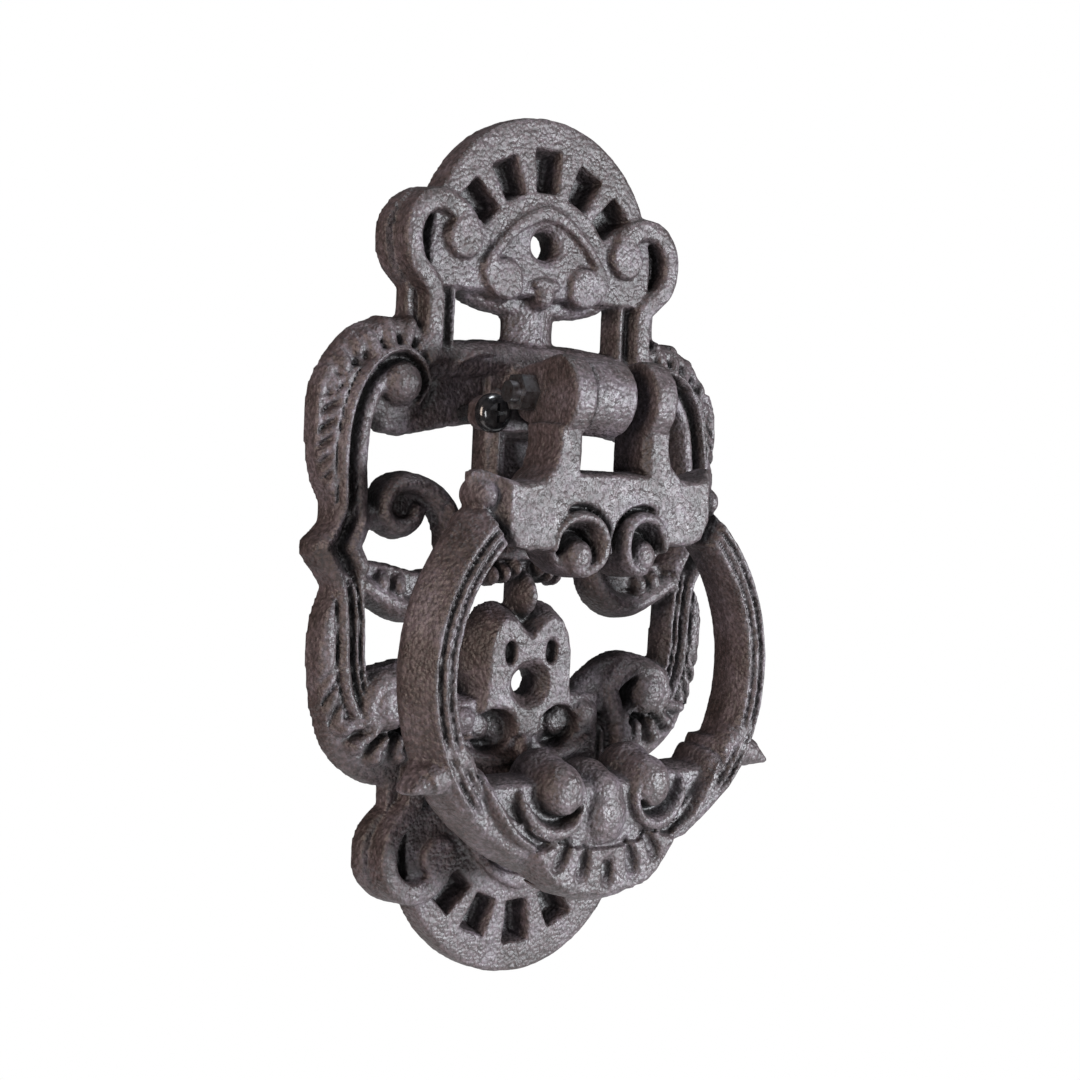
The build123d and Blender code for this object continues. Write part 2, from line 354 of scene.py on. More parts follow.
def fan_relief(x, z):
    """The fan at one end of the plate, with five pockets between its ribs."""
    rim = (1 - np.hypot(x / 33.0, (z - 71.0) / 34.9)) * 33.8
    fan = plateau(np.minimum(rim + 0.5, z - 62), 7.8, 1.5, 3.4)
    for angle, outer in ((0, 31.4), (25.6, 30.3), (49.5, 30.1)):
        c, s = math.cos(math.radians(angle)), math.sin(math.radians(angle))
        out = x * s + (z - 67) * c
        aside = np.abs(x * c - (z - 67) * s)
        pocket = np.minimum(np.minimum(out - 21.0, outer - out), 2.9 + (out - 21) * 0.08 - aside)
        fan = fan - 5.8 * np.clip((pocket + 0.3) / 1.5, 0, 1) ** 0.9
    return fan


def heart_relief(x, z):
    """The cartouche under the fan: a raised heart with a sunk field, two lobes and a bud."""
    half = [(5.8, 83.2), (11.4, 78.9), (15.9, 74.0), (18.8, 69.6), (18.6, 65.0), (15.0, 61.2),
            (10.4, 60.4), (6.4, 62.6)]
    outline = mirrored((0, 85.2), half, (0, 64.5))
    heart = shape_inside(x, z, outline)
    top = plateau(heart, 9.7, 1.3)
    sunk = [(5.9, 79.4), (10.2, 76.2), (14.0, 72.0), (15.6, 68.4), (12.4, 64.6), (6.0, 65.0)]
    sunk = shape_inside(x, z, mirrored((0, 81.2), sunk, (0, 67.0)))
    lobe = np.hypot(x - 12.2, z - 65.2)
    field = 4.6 * np.clip(sunk / 1.1, 0, 1) * fade(lobe, 4.6, 7.4)
    top = top - np.where(heart > 0, field, 0)
    top = top - groove(np.hypot((x - 5.5) * 1.1, (z - 64.8) * 0.42), 1.4, 4.6)
    top = np.where(heart > 0, top, np.minimum(top, 3.0))
    backing = [(9, 57.8), (16.5, 59), (22.5, 62), (25, 72)]
    backing = shape_inside(x, z, mirrored((0, 57.2), backing, (0, 74)))
    top = smooth_max(top, plateau(backing, 4.2, 2.6, 2.2), 0.4)
    return smooth_max(top, dome(x, z, (0, 63.4), (3.4, 4.4), 9.9, 2.0, 2.8), 0.3)


def volute_relief(x, z):
    """A volute and its stem: a flat band that rolls up round an eye, with a thin lip inside it."""
    top = plateau(12.9 - np.hypot(x - 30.9, z - 73.2), 4.8, 1.4)
    band = Stroke(x, z, [(31.2, 47, 2.7, 9.2), (31.2, 60, 2.7, 9.2), (33.4, 63.8, 2.8, 9.8),
                         (37.0, 67.6, 2.7, 10.3), (38.4, 72.4, 2.6, 10.5), (37.8, 77.4, 2.7, 10.5),
                         (35.0, 81.2, 2.9, 10.4), (30.8, 82.5, 3.0, 10.4), (26.8, 81.4, 3.1, 10.3),
                         (23.6, 78.4, 3.2, 10.2)])
    top = smooth_max(top, band.bar(5.0, 2.0), 0.4)
    top = smooth_max(top, plateau(5.4 - np.hypot(x - 24.2, z - 74.2), 10.3, 1.5, 3.0), 0.3)
    lip = Stroke(x, z, [(25.3, 47, 1.1, 6.9), (25.3, 63.0, 1.1, 6.9), (26.6, 65.8, 1.0, 7.0),
                        (30.2, 67.4, 0.8, 6.8), (33.4, 70.0, 0.7, 6.6), (34.6, 73.8, 0.6, 6.4),
                        (33.8, 77.4, 0.5, 6.0)])
    stem = plateau(box_inside(x, z, 23.9, 37.6, 44, 68), 5.0, 1.4)
    return smooth_max(smooth_max(top, stem, 0.6), lip.bar(2.4, 3.0), 0.4)


def head_relief(x, z):
    """One end of the plate; z runs outward from the middle."""
    fan = fan_relief(x, z)
    top = smooth_max(fan, heart_relief(x, z), 0.3)
    centre = Stroke(x, z, [(0, 46, 12, 5.4), (0, 50.5, 8.6, 5.0), (0, 54, 7.8, 4.8), (0, 62, 8.4, 5.0)])
    top = smooth_max(top, centre.bar(1.7), 0.6)
    return smooth_max(top, volute_relief(x, z), 0.4)


def scallops(stroke, pitch, depth, lean=0.0):
    """Leaf fingers across a rim: 1 on each finger's crest, falling away in the cuts between."""
    phase = (stroke.along + lean * stroke.side * stroke.gap) / pitch * math.pi
    return 1 - depth * (1 - np.abs(np.sin(phase))) ** 1.6


SIDE_OUTLINE = ((50.8, -48), (54.6, -42), (56.5, -36), (57.4, -30), (57.8, -24), (57.4, -17.5),
                (56.5, -14), (55.2, -11), (54.8, -9), (56.0, -7), (58.6, -4), (60.1, -1.6), (60.4, 0.2),
                (60.0, 1.8), (57.6, 4), (56.0, 6.2), (55.7, 8.6), (56.4, 11.4), (58.4, 15.6), (59.6, 20.5),
                (60.2, 26), (60.3, 32), (59.8, 37), (57.6, 43))
UPPER_SECTION = ((-9.2, 5.4), (-5.6, 5.9), (-4.2, 6.8), (-2.8, 7.8), (-1.9, 8.0), (-1.5, 6.7), (-1.1, 8.2),
                 (0, 9.8), (0.9, 8.8), (1.8, 5.2), (2.5, 5.8), (3.1, 7.7), (4.3, 8.7), (5.8, 8.2),
                 (6.9, 6.4), (7.5, 4.4), (7.8, 0), (9.7, OUTSIDE))
CUSP_SECTION = ((-6.4, 5.0), (-3.3, 5.8), (-1.6, 7.2), (0, 9.0), (1.3, 7.6), (2.6, 4.8), (3.7, 4.2),
                (4.6, 7.4), (5.8, 9.0), (7.6, 8.2), (8.8, 6.0), (9.4, 4.0), (9.7, 0), (11.6, OUTSIDE))
LOWER_SECTION = ((-9.7, 5.4), (-7.1, 5.8), (-5.5, 6.8), (-3.8, 7.4), (-2.3, 6.9), (-1.9, 5.2), (-1.4, 7.0),
                 (0, 8.4), (1.2, 7.0), (1.8, 4.8), (2.3, 6.9), (2.9, 8.2), (3.4, 6.9), (3.7, 5.6),
                 (4.1, 7.1), (4.7, 8.0), (5.3, 6.6), (5.8, 5.4), (6.4, 4.4), (6.7, 0), (8.6, OUTSIDE))


def outer_wall(x, z):
    """The steep outer side of the mouldings, as a height that limits them."""
    across, up = zip(*SIDE_OUTLINE)
    slope = np.gradient(np.interp(z[0], up, across), z[0])
    inside = (np.interp(z, up, across) - x) / np.hypot(1, slope)[None, :]
    wall = 5.2 * np.clip(inside / 0.9, 0, 1) ** 0.35 + 4 * np.maximum(inside - 0.5, 0)
    return np.where(inside > 0, wall, WALL_SLOPE * inside)


def side_moulding(x, z):
    """The run of mouldings down one side: upper C, pointed cusp and lower C."""
    spine = Stroke(x, z, [(37, -45.6, 1, 0), (41.6, -44.2, 1, 0), (45.8, -40.6, 1, 0), (48.8, -35, 1, 0),
                          (50.4, -28, 1, 0), (50.9, -20, 1, 0), (51.3, -14, 1, 0), (52.2, -9, 1, 0),
                          (54.2, -4.6, 1, 0), (56.6, -0.2, 1, 0), (57.0, 0.5, 1, 0), (56.6, 1.2, 1, 0),
                          (54.4, 5.2, 1, 0), (53.1, 9.5, 1, 0), (53.1, 14, 1, 0), (53.5, 20, 1, 0),
                          (53.2, 26, 1, 0), (52.2, 32, 1, 0), (50.4, 37.5, 1, 0), (47.6, 42, 1, 0),
                          (43.8, 45.4, 1, 0)])
    offset = spine.side * spine.gap
    upper = moulding(spine, *UPPER_SECTION)
    slant = (spine.along - 0.9 * offset) / 3.9 * 2 * math.pi
    cut = (0.5 + 0.5 * np.cos(slant)) ** 2
    upper = upper - 1.9 * cut * fade(offset, -6.4, -5.0) * fade(offset, -2.2, -3.2) * fade(z, 11, 16)
    lower = moulding(spine, *LOWER_SECTION)
    lower = lower - 2.2 * cut * fade(offset, -7.6, -6.0) * fade(offset, -2.0, -3.4) * fade(z, -24, -34)
    cusp = moulding(spine, *CUSP_SECTION)
    ends = np.where(z > 0, upper, lower)
    mixed = ends + (cusp - ends) * fade(np.abs(z - 0.5), 10.5, 4.5)
    mixed = np.where((z < 42) & (z > -43), mixed, OUTSIDE)
    return np.where(x > 46, np.minimum(mixed, outer_wall(x, z)), mixed)


def upper_scroll_relief(x, z):
    """The head of the upper C: leaf fingers and a high ridge that curls round a boss."""
    body = Stroke(x, z, [(30, 45.5, 6.0, 6.2), (38, 46.8, 7.6, 6.2), (45.0, 45.2, 7.9, 6.2),
                         (50.0, 40.2, 7.6, 6.0)])
    top = body.bar(3.0)
    web = shape_inside(x, z, [(10, 31.2), (22, 29.6), (30, 28.0), (36, 26.6), (42, 27.4), (46, 32),
                              (46, 44), (10, 46)], False)
    top = smooth_max(top, plateau(web, 4.6, 2.0), 0.6)
    rim = Stroke(x, z, [(33, 49.8, 3.8, 7.6), (39.5, 50.8, 3.9, 7.8), (46.5, 48.2, 3.9, 7.8),
                        (51.8, 43.0, 3.8, 7.6), (54.6, 37.6, 3.4, 7.0)])
    leafy = rim.bar(2.4) * scallops(rim, 5.2, 0.55, 0.6)
    top = smooth_max(top, leafy, 0.5)
    ridge = Stroke(x, z, [(33.6, 34.6, 1.1, 7.6), (31.6, 39.4, 1.4, 8.8), (33.8, 44.2, 1.5, 9.6),
                          (38.6, 46.8, 1.5, 10.0), (43.8, 45.6, 1.5, 10.2), (47.8, 42, 1.5, 10.2),
                          (50.4, 37.5, 1.5, 10.0), (52, 33, 1.4, 9.8)])
    top = top - groove(ridge.gap - 2.6, 0.8, 1.2)
    top = smooth_max(top, ridge.bar(1.8, 1.0), 0.5)
    top = smooth_max(top, dome(x, z, (38.6, 36.2), (8.8, 8.8), 5.6, 0.0, 3.0), 0.7)
    top = smooth_max(top, dome(x, z, (38.8, 39.2), (5.7, 5.7), 11.2, 3.0, 2.4), 0.4)
    for angle in (36, 62, 88, 114, 142):
        top = smooth_max(top, finger(x, z, (38.2, 39.6), angle, 8.4, 13.4, 3.0, 9.2).bar(2.2), 0.3)
    return top


def finger(x, z, centre, angle, start, end, width, height):
    """A leaf finger that leans as it leaves its centre, its angle counted from outward to up."""
    rows = []
    for share, fat in ((0, 0.7), (0.45, 1.0), (1, 0.85)):
        turn = math.radians(angle + 9 * share)
        reach = start + (end - start) * share
        at_x = centre[0] + reach * math.cos(turn)
        at_z = centre[1] + reach * math.sin(turn)
        rows.append((at_x, at_z, width * fat, height * (1.05 - 0.18 * share)))
    return Stroke(x, z, rows)


def lower_scroll_relief(x, z):
    """The foot of the lower C: a snail-shell boss under a hood, with knobbed leaf fingers below."""
    body = Stroke(x, z, [(49.4, -36, 7.2, 5.6), (45.8, -43.4, 8.0, 5.6), (39.4, -48.2, 8.4, 5.6),
                         (31, -50.0, 7.6, 5.4), (22, -49, 6.4, 5.0)])
    top = body.bar(3.0)
    hood = Stroke(x, z, [(12, -44.0, 4.2, 5.2), (19, -40.2, 5.0, 5.8), (25.4, -36.0, 6.2, 6.2),
                         (31.6, -33.6, 6.8, 6.4), (39, -34.4, 6.6, 6.2), (46, -36, 6.0, 6.0)])
    top = smooth_max(top, hood.bar(3.0), 0.6)
    for angle in (-21, -46, -74, -104, -134):
        top = smooth_max(top, finger(x, z, (38.3, -37.4), angle - 5, 7.4, 12.6, 2.5, 9.2).bar(2.0), 0.3)
        knob = math.radians(angle)
        tip = (38.3 + 12.4 * math.cos(knob), -37.4 + 12.4 * math.sin(knob))
        top = smooth_max(top, dome(x, z, tip, (2.7, 2.7), 9.2, 1.0), 0.3)
    leaf = Stroke(x, z, [(27.4, -35.6, 3.2, 8.0), (28.6, -40.6, 3.6, 8.8), (31.0, -45.2, 2.8, 8.6)])
    top = smooth_max(top, leaf.bar(2.2, 2.0), 0.4)
    coil = Stroke(x, z, [(27.6, -36.0, 2.4, 8.6), (31.0, -32.6, 2.8, 9.0), (36.4, -31.2, 3.0, 9.4),
                         (42.0, -32.8, 3.0, 9.6), (44.0, -37.6, 2.8, 9.6), (42.2, -42.0, 2.4, 9.4)])
    top = smooth_max(top, coil.bar(2.2, 2.0), 0.4)
    top = smooth_max(top, dome(x, z, (38.9, -37.0), (6.0, 6.6), 10.8, 3.0, 2.6), 0.4)
    crescent = Stroke(x, z, [(34.0, -33.6, 0.5, 0), (32.6, -37.2, 1.0, 0), (33.4, -41.4, 1.1, 0),
                             (37.0, -44.2, 0.6, 0)])
    return top - 4.2 * np.exp(-(crescent.gap / (crescent.half + 0.3)) ** 2)


def tendril_relief(x, z):
    """The S-shaped tendril between the column and the side moulding, curled at both ends."""
    web = plateau(8.0 - np.hypot(x - 36.0, z - 10.0), 4.0, 1.8)
    low = shape_inside(x, z, [(25, -5), (31, -5.4), (38, -3.8), (47, -3.4), (48, -12), (39, -15),
                              (28, -14), (21, -8)])
    web = smooth_max(web, plateau(low, 3.8, 1.6), 0.5)
    curl = Stroke(x, z, [(32.2, 9.8, 2.2, 6.4), (33.2, 6.6, 2.6, 7.4), (37.4, 5.2, 2.9, 8.0),
                         (41.0, 7.8, 2.9, 8.2), (40.9, 11.8, 2.7, 8.2), (37.8, 14.8, 2.8, 8.2),
                         (33.2, 15.4, 3.0, 8.2), (27.4, 13.2, 3.4, 8.2), (23.0, 8.4, 3.6, 8.2),
                         (21.2, 1.6, 3.6, 8.0), (21.2, -4.6, 3.6, 8.0), (23.4, -10.0, 3.9, 8.2),
                         (28.4, -13.6, 3.9, 8.2), (34.4, -14.2, 3.7, 8.2), (40.2, -11.8, 3.4, 8.0),
                         (46.0, -8.6, 3.2, 7.8)])
    top = smooth_max(web, curl.bar(1.9), 0.4)
    for knob in ((36.2, -9.2), (40.6, -8.2)):
        top = smooth_max(top, dome(x, z, knob, (2.5, 3.6), 7.4, 1.0), 0.4)
    crease = Stroke(x, z, [(25.4, 10.2, 0.5, 0), (22.6, 3.6, 0.6, 0), (22.4, -4.0, 0.6, 0),
                           (25.0, -8.6, 0.6, 0), (29.4, -11.4, 0.6, 0), (34.2, -11.8, 0.5, 0)])
    top = top - groove(crease.gap, 0.8, 1.5)
    to_scroll = Stroke(x, z, [(42.0, 7.4, 3.4, 6.4), (48, 7.0, 3.6, 6.6)])
    to_column = Stroke(x, z, [(21.5, 3.4, 3.4, 6.4), (12, 2.2, 4.4, 5.2)])
    return smooth_max(top, smooth_max(to_scroll.bar(), to_column.bar(), 0.5), 0.7)


def column_relief(x, z):
    """The middle: crossbar, hinge column, pendant, the lower screw block and the pits under it."""
    crossbar = Stroke(x, z, [(0, 46.2, 5.2, 8.0), (12, 46.4, 5.0, 8.0), (22, 45.6, 5.0, 7.8),
                             (31, 44.6, 5.2, 7.0)])
    top = crossbar.bar(2.4)
    leaf = Stroke(x, z, [(14.0, 47.6, 1.2, 9.0), (18.6, 47.4, 1.9, 10.0), (23.4, 45.0, 1.3, 9.0)])
    top = smooth_max(top, leaf.bar(), 0.5)
    column = plateau(box_inside(x, z, -14.4, 14.4, -3.0, 48), 6.4, 1.6)
    recess = np.minimum(8.4 - np.abs(x), np.minimum(z - 3, 27.8 - z))
    column = column - 3.4 * fade(recess, -0.4, 1.4)
    edge = Stroke(x, z, [(11.6, 4, 1.5, 8.2), (11.6, 38, 1.6, 8.6)])
    top = smooth_max(top, smooth_max(column, edge.bar(), 0.5), 0.6)
    neck = plateau(box_inside(x, z, -3.0, 3.0, -22, 4), 3.8, 1.2)
    top = smooth_max(top, neck, 0.8)
    for knob, height in (((3.6, -4.4), 8.6), ((6.4, -5.8), 8.0), ((9.4, -6.4), 7.2)):
        top = smooth_max(top, dome(x, z, knob, (1.7, 3.2), height), 0.3)
    top = smooth_max(top, dome(x, z, (0, -11.3), (2.7, 6.6), 10.4, 2.0, 1.7), 0.3)

    half = [(2.4, -19.2), (4.4, -17.2), (6.8, -16.4), (9.4, -17.4), (11.2, -20.4), (12.2, -25),
            (12.4, -35), (14.0, -41), (17, -46)]
    outline = mirrored((0, -21.6), half, (0, -46))
    block = smooth_min(9.6, 9.0 + 2.5 * shape_inside(x, z, outline, False), 1.0)
    teardrop = np.hypot((x - 6.1) / 1.7, (z + 25.2) / 3.2)
    block = block - 3.2 * fade(teardrop, 1.15, 0.55)
    top = smooth_max(top, block, 0.5)

    web = plateau(box_inside(x, z, -24, 24, -66, -36), 7.2, 2.0)
    spine = Stroke(x, z, [(0, -38, 3.4, 9.6), (0, -43, 2.6, 9.4), (0, -50, 3.2, 9.4)])
    arc = Stroke(x, z, [(0, -51.2, 2.0, 9.0), (7.6, -52.0, 2.2, 9.4), (14.4, -50.8, 2.2, 9.2),
                        (19.6, -48.2, 2.0, 8.6)])
    for bar in (spine, arc):
        web = smooth_max(web, bar.bar(2.4), 0.6)
    web = smooth_max(web, dome(x, z, (18.4, -41.8), (5.4, 4.8), 9.8, 3.0), 0.6)
    web = smooth_max(web, dome(x, z, (16.6, -55.4), (6.4, 3.2), 9.2, 3.0), 0.6)
    top = smooth_max(top, web, 0.6)
    pit = fade(np.hypot((x - 9.6) / 5.9, (z + 44.6) / 5.4), 1.12, 0.86)
    top = top + (1.9 - top) * pit
    anvil = plateau(8.6 - np.hypot(x, z - ANVIL_Z), ANVIL_HEIGHT, 3.0, 2.6)
    return smooth_max(top, anvil, 1.0)


def plate_relief(x, z):
    """The height of the whole plate."""
    side = np.abs(x)
    top = smooth_max(head_relief(side, np.abs(z)), column_relief(side, z), 0.6)
    for part in (side_moulding, upper_scroll_relief, lower_scroll_relief, tendril_relief):
        top = smooth_max(top, part(side, z), 0.5)
    return np.maximum(top, OUTSIDE)


def round_box(x, y, z, centre, half, radius):
    """Distance to a box with rounded edges."""
    q = [np.abs(v - c) - (h - radius) for v, c, h in zip((x, y, z), centre, half)]
    outside = np.sqrt(sum(np.maximum(v, 0) ** 2 for v in q))
    return outside + np.minimum(np.maximum(np.maximum(q[0], q[1]), q[2]), 0) - radius


def eye_distance(y, z, knuckle, nose):
    """Distance to the side view of a hinge eye: a knuckle on the pin joined to a rounder nose."""
    ay, az, ra = knuckle
    by, bz, rb = nose
    u = np.clip(((y - ay) * (by - ay) + (z - az) * (bz - az)) / ((by - ay) ** 2 + (bz - az) ** 2), 0, 1)
    return np.hypot(y - ay - u * (by - ay), z - az - u * (bz - az)) - (ra + u * (rb - ra))


def rounded_slice(flat, x, centre, half, radius):
    """A flat shape given a thickness along X, with rounded rims."""
    a = np.maximum(flat + radius, 0)
    b = np.maximum(np.abs(x - centre) - half + radius, 0)
    return np.hypot(a, b) + np.minimum(np.maximum(flat, np.abs(x - centre) - half), 0) - radius


def screw_hole(block, z):
    """A hole through the plate, with a countersink in front."""
    def hole(x, y, zz):
        return np.maximum(np.hypot(x, zz - z) - SCREW_HOLE_RADIUS, -1 - y)

    def sink(x, y, zz):
        return (np.hypot(x, zz - z) - 3.0 - (y - 5.4) * 0.75) * 0.8

    block.blend((-9, -2, z - 9), (9, 16, z + 9), hole, 0.3, cut=True)
    block.blend((-9, 4.5, z - 9), (9, 16, z + 9), sink, 0.4, cut=True)


def bore_along_x(radius):
    """The hinge bolt's bore."""
    return lambda x, y, z: np.hypot(y - PIN_HEIGHT, z - PIN_Z) - radius


def back_plate():
    """The openwork casting, with its hinge arm, barrel, screw lug and holes."""
    block = Block((-62.5, -1.2, -107), (62.5, 43.5, 107), PLATE_STEP)
    block.from_relief(plate_relief(*block.relief_grid()))

    def barrel(x, y, z):
        flat = eye_distance(y, z, (PIN_HEIGHT, PIN_Z, 7.6), (33.0, 37.5, 9.0))
        return rounded_slice(flat, x, BARREL_X, BARREL_HALF_WIDTH, 1.0)

    def arm(x, y, z):
        flare = np.clip((12 - y) / 8, 0, 1) ** 2 * 3.4
        half = (BARREL_HALF_WIDTH + flare, 13, 7.4 + flare * 0.5)
        return round_box(x, y, z, (BARREL_X, 11, PIN_Z - 0.5), half, 2.0)

    def lug(x, y, z):
        shank = round_box(x, y, z, (SCREW_X / 2 - 1, 14.4, SCREW_Z), (abs(SCREW_X) / 2 + 1, 2.5, 4.2), 1.0)
        eye = np.maximum(np.hypot(x - SCREW_X, z - SCREW_Z) - 4.2, np.abs(y - 14.4) - 2.5)
        return np.minimum(shank, eye)

    def lug_bore(x, y, z):
        return np.hypot(x - SCREW_X, z - SCREW_Z) - LUG_BORE

    block.blend((-24, 9, 26), (2, 19, 40), lug, 1.5)
    block.blend((-16, -1, 24), (16, 26, 52), arm, 3.0)
    block.blend((-9, 12, 26), (9, 43.4, 49), barrel, 2.0)
    for z in SCREW_HOLE_Z:
        screw_hole(block, z)
    block.blend((-9, 20, 33), (9, 30, 43), bore_along_x(BARREL_BORE), 0.2, cut=True)
    low, high = (SCREW_X - 3, 8, SCREW_Z - 3), (SCREW_X + 3, 20, SCREW_Z + 3)
    block.blend(low, high, lug_bore, 0.2, cut=True)
    return casting("back_plate_casting", block, 1, (0.10, 0.16))


# ---------------------------------------------------------------- knocker ring

RING_SECTION = ((39.4, 18), (40.5, 28), (41.0, 34), (41.3, 38.4), (41.8, 41.0), (42.5, 42.2), (43.2, 41.6),
                (43.7, 40.6), (44.3, 41.6), (45.0, 42.5), (45.6, 41.4), (46.0, 40.2), (46.6, 41.4),
                (47.2, 42.2), (47.8, 41.6), (49.0, 38.8), (50.2, 36.2), (51.4, PARTING), (52.6, 26))


def lift(z):
    """How much further the casting stands off the door towards its foot."""
    return np.clip(20 - z, 0, 100) * FOOT_LEAN


def ring_front(x, z):
    """The front of the ring casting, as heights; it meets the back at the parting line."""
    side = np.abs(x)
    radius = np.hypot(x, z - RING_CENTRE_Z)
    where, height = zip(*RING_SECTION)
    top = np.interp(radius, where, height)
    top = top - 3.4 * fade(radius, 44, 49) * fade(z, -52, -62)
    under_foot = fade(side, 37, 29) * fade(z, -46, -52)
    top = top - np.maximum(top - 38.0, 0) * under_foot
    hidden = shape_inside(side, z, [(0, 27), (34, 27), (32, 12), (27, 4.5), (21, 3), (0, 3)], False)
    top = np.minimum(top, PARTING - 3 * np.clip(hidden, -5, 5))
    top = smooth_max(top, shoulder_front(x, z), 0.4)
    return smooth_max(top, foot_front(side, z), 0.5) + lift(z) * (top > PARTING - 3)


def shoulder_front(x, z):
    """The flat web under the ears, horned at both ends, with two curls along its lower edge."""
    side = np.abs(x)
    tilted = z - 0.036 * x
    half = [(9.3, 20.3), (9.4, 31), (16.5, 31), (16.3, 25.8), (17.4, 21.8), (20.4, 18.8), (24.6, 18.2),
            (28.8, 19.4), (32.6, 20.9), (35.2, 20.4), (35.8, 17.6), (34.0, 13.4), (30.6, 9.6), (28.8, 6.6),
            (27.2, 3.4), (23.6, 2.2), (17.5, 2.4), (9.5, 0.6), (2.6, -0.6)]
    outline = mirrored((0, 20.3), half, (0, 0.6))
    inside = shape_inside(side, np.where(side > 17, tilted, z), outline, False)
    top = plateau(inside, 40.4, 1.5, 2.6, PARTING)
    horn = 3.6 * fade(side, 28.4, 30.4) + 3.6 * np.clip((side - 30.4) / 5, 0, 1)
    top = np.minimum(top, 40.4 - horn * fade(z, 2, 8))
    top = smooth_max(top, dome(side, z, (32.2, 14.0), (3.2, 4.0), 38.6, 32.0), 0.6)
    curl_gap = np.hypot(side - 9.0, z - 3.8)
    turn = np.degrees(np.arctan2(z - 3.8, 9.0 - side))
    near_middle = fade(turn, 125, 100) * fade(turn, -75, -50)
    top = top - 3.6 * np.exp(-((curl_gap - 8.0) / 0.8) ** 2) * near_middle
    top = np.where((curl_gap < 7.6) & (top > PARTING), np.minimum(top, 38.4), top)
    curl = plateau(7.5 - curl_gap, 38.0, 1.2, 2.4, PARTING)
    band = Stroke(side, z, [(16.0, 2.6, 1.6, 40.6), (15.0, 6.6, 1.7, 41.0), (12.0, 9.4, 1.9, 41.6),
                            (8.0, 9.9, 2.0, 42.2), (4.4, 8.0, 2.1, 42.6), (3.0, 3.8, 2.2, 42.8),
                            (4.2, -0.4, 2.1, 42.4), (7.4, -2.6, 1.9, 41.6), (10.4, -2.6, 1.4, 40.4)])
    top = smooth_max(top, smooth_max(curl, band.bar(2.2, PARTING), 0.3), 0.3)
    top = smooth_max(top, dome(side, z, (9.2, 1.0), (4.0, 4.2), 41.8, 36.0, 2.6), 0.3)
    slit = Stroke(side, z, [(13.6, 1.6, 0.5, 0), (13.0, 4.4, 0.9, 0), (10.6, 6.4, 1.0, 0),
                            (7.4, 6.0, 0.8, 0), (5.6, 3.6, 0.5, 0)])
    return top - 3.6 * np.exp(-(slit.gap / slit.half) ** 2)


def foot_front(side, z):
    """The scrolls, leaf folds, shell and barbs along the ring's bottom."""
    ball = dome(side, z, (12.6, -52.8), (5.9, 6.8), 46.4, 38.5, 2.6)
    ribbon = Stroke(side, z, [(8.4, -50.6, 1.6, 44.6), (7.6, -55.2, 2.0, 45.0), (9.6, -60.0, 2.6, 45.2),
                              (14.0, -62.0, 3.2, 45.0), (19.0, -60.4, 3.2, 44.4), (22.4, -56.2, 2.6, 43.6),
                              (23.2, -52.8, 1.6, 42.4)])
    top = smooth_max(ball, ribbon.bar(2.2, PARTING), 0.4)
    moat = Stroke(side, z, [(9.4, -56.6, 0.4, 0), (11.4, -58.8, 0.8, 0), (15.0, -58.9, 0.9, 0),
                            (18.4, -57.0, 1.0, 0), (20.2, -53.6, 1.1, 0), (20.0, -50.0, 1.0, 0)])
    top = top - 2.6 * np.exp(-(moat.gap / (moat.half + 0.15)) ** 2)
    lobe = Stroke(side, z, [(20.2, -65.0, 1.8, 42.6), (25.2, -61.6, 2.4, 43.2), (28.8, -57.4, 2.7, 43.2),
                            (31.6, -52.6, 2.8, 42.8), (33.6, -48.4, 2.4, 42.0)])
    top = smooth_max(top, lobe.bar(1.8, PARTING), 0.3)
    fold = Stroke(side, z, [(27.6, -52.0, 0.8, 0), (25.6, -57.8, 0.9, 0), (20.6, -62.6, 0.8, 0),
                            (14.2, -65.4, 0.7, 0)])
    top = top - 2.0 * np.exp(-(fold.gap / fold.half) ** 2)
    web = [(8, -50), (20, -50), (31, -50), (36, -49), (40, -46.6), (45, -46.6), (44, -51), (39.6, -56.4),
           (33.0, -62.0), (25.4, -67.4), (18, -69), (9, -70)]
    web = shape_inside(side, z, mirrored((0, -51), web, (0, -70)), False)
    top = smooth_max(top, plateau(web, 40.4, 1.8, 2.4, PARTING), 0.5)
    collar = Stroke(side, z, [(36.6, -46.2, 2.4, 41.4), (39.6, -43.2, 3.2, 42.4), (44.0, -40.8, 3.0, 41.4)])
    top = smooth_max(top, collar.bar(2.6, PARTING), 0.3)
    barb = Stroke(side, z, [(42.0, -46.6, 4.4, 41.6), (45.4, -47.8, 4.0, 41.8), (48.2, -48.9, 3.0, 41.8),
                            (50.6, -50.0, 1.4, 41.4)])
    top = smooth_max(top, barb.bar(2.2, 36.0), 0.4)
    return smooth_max(top, shell_front(side, z), 0.3)


def shell_front(side, z):
    """The scallop shell at the lowest point, with a domed rib and teardrop flutes."""
    half = [(9.2, -50.5), (10.5, -58), (16.5, -63.4), (21.6, -65.0), (21.2, -67.6), (18.8, -71.2),
            (16.0, -74.6), (11.6, -77.8), (5.0, -79.8)]
    outline = mirrored((0, -50), half, (0, -80.4))
    top = plateau(shape_inside(side, z, outline, False), 42.8, 2.6, 2.2, PARTING)
    for middle, lean in (((0, -71.2), 0), ((6.9, -69.6), 12), ((12.8, -67.0), 30)):
        turn = math.radians(lean)
        dx, dz = side - middle[0], z - middle[1]
        across = dx * math.cos(turn) + dz * math.sin(turn)
        along = -dz * math.cos(turn) + dx * math.sin(turn)
        flute = np.hypot(across / (1.9 + 0.14 * np.clip(along, -5, 5)), along / 5.2)
        top = top - 2.4 * fade(flute, 1.2, 0.2)
    rib = Stroke(side, z, [(0, -54.6, 5.4, 44.6), (0, -58, 6.2, 45.6), (0, -62, 5.8, 45.2),
                           (0, -66.0, 4.2, 43.4)])
    return smooth_max(top, rib.bar(2.2, 40.0), 0.6)


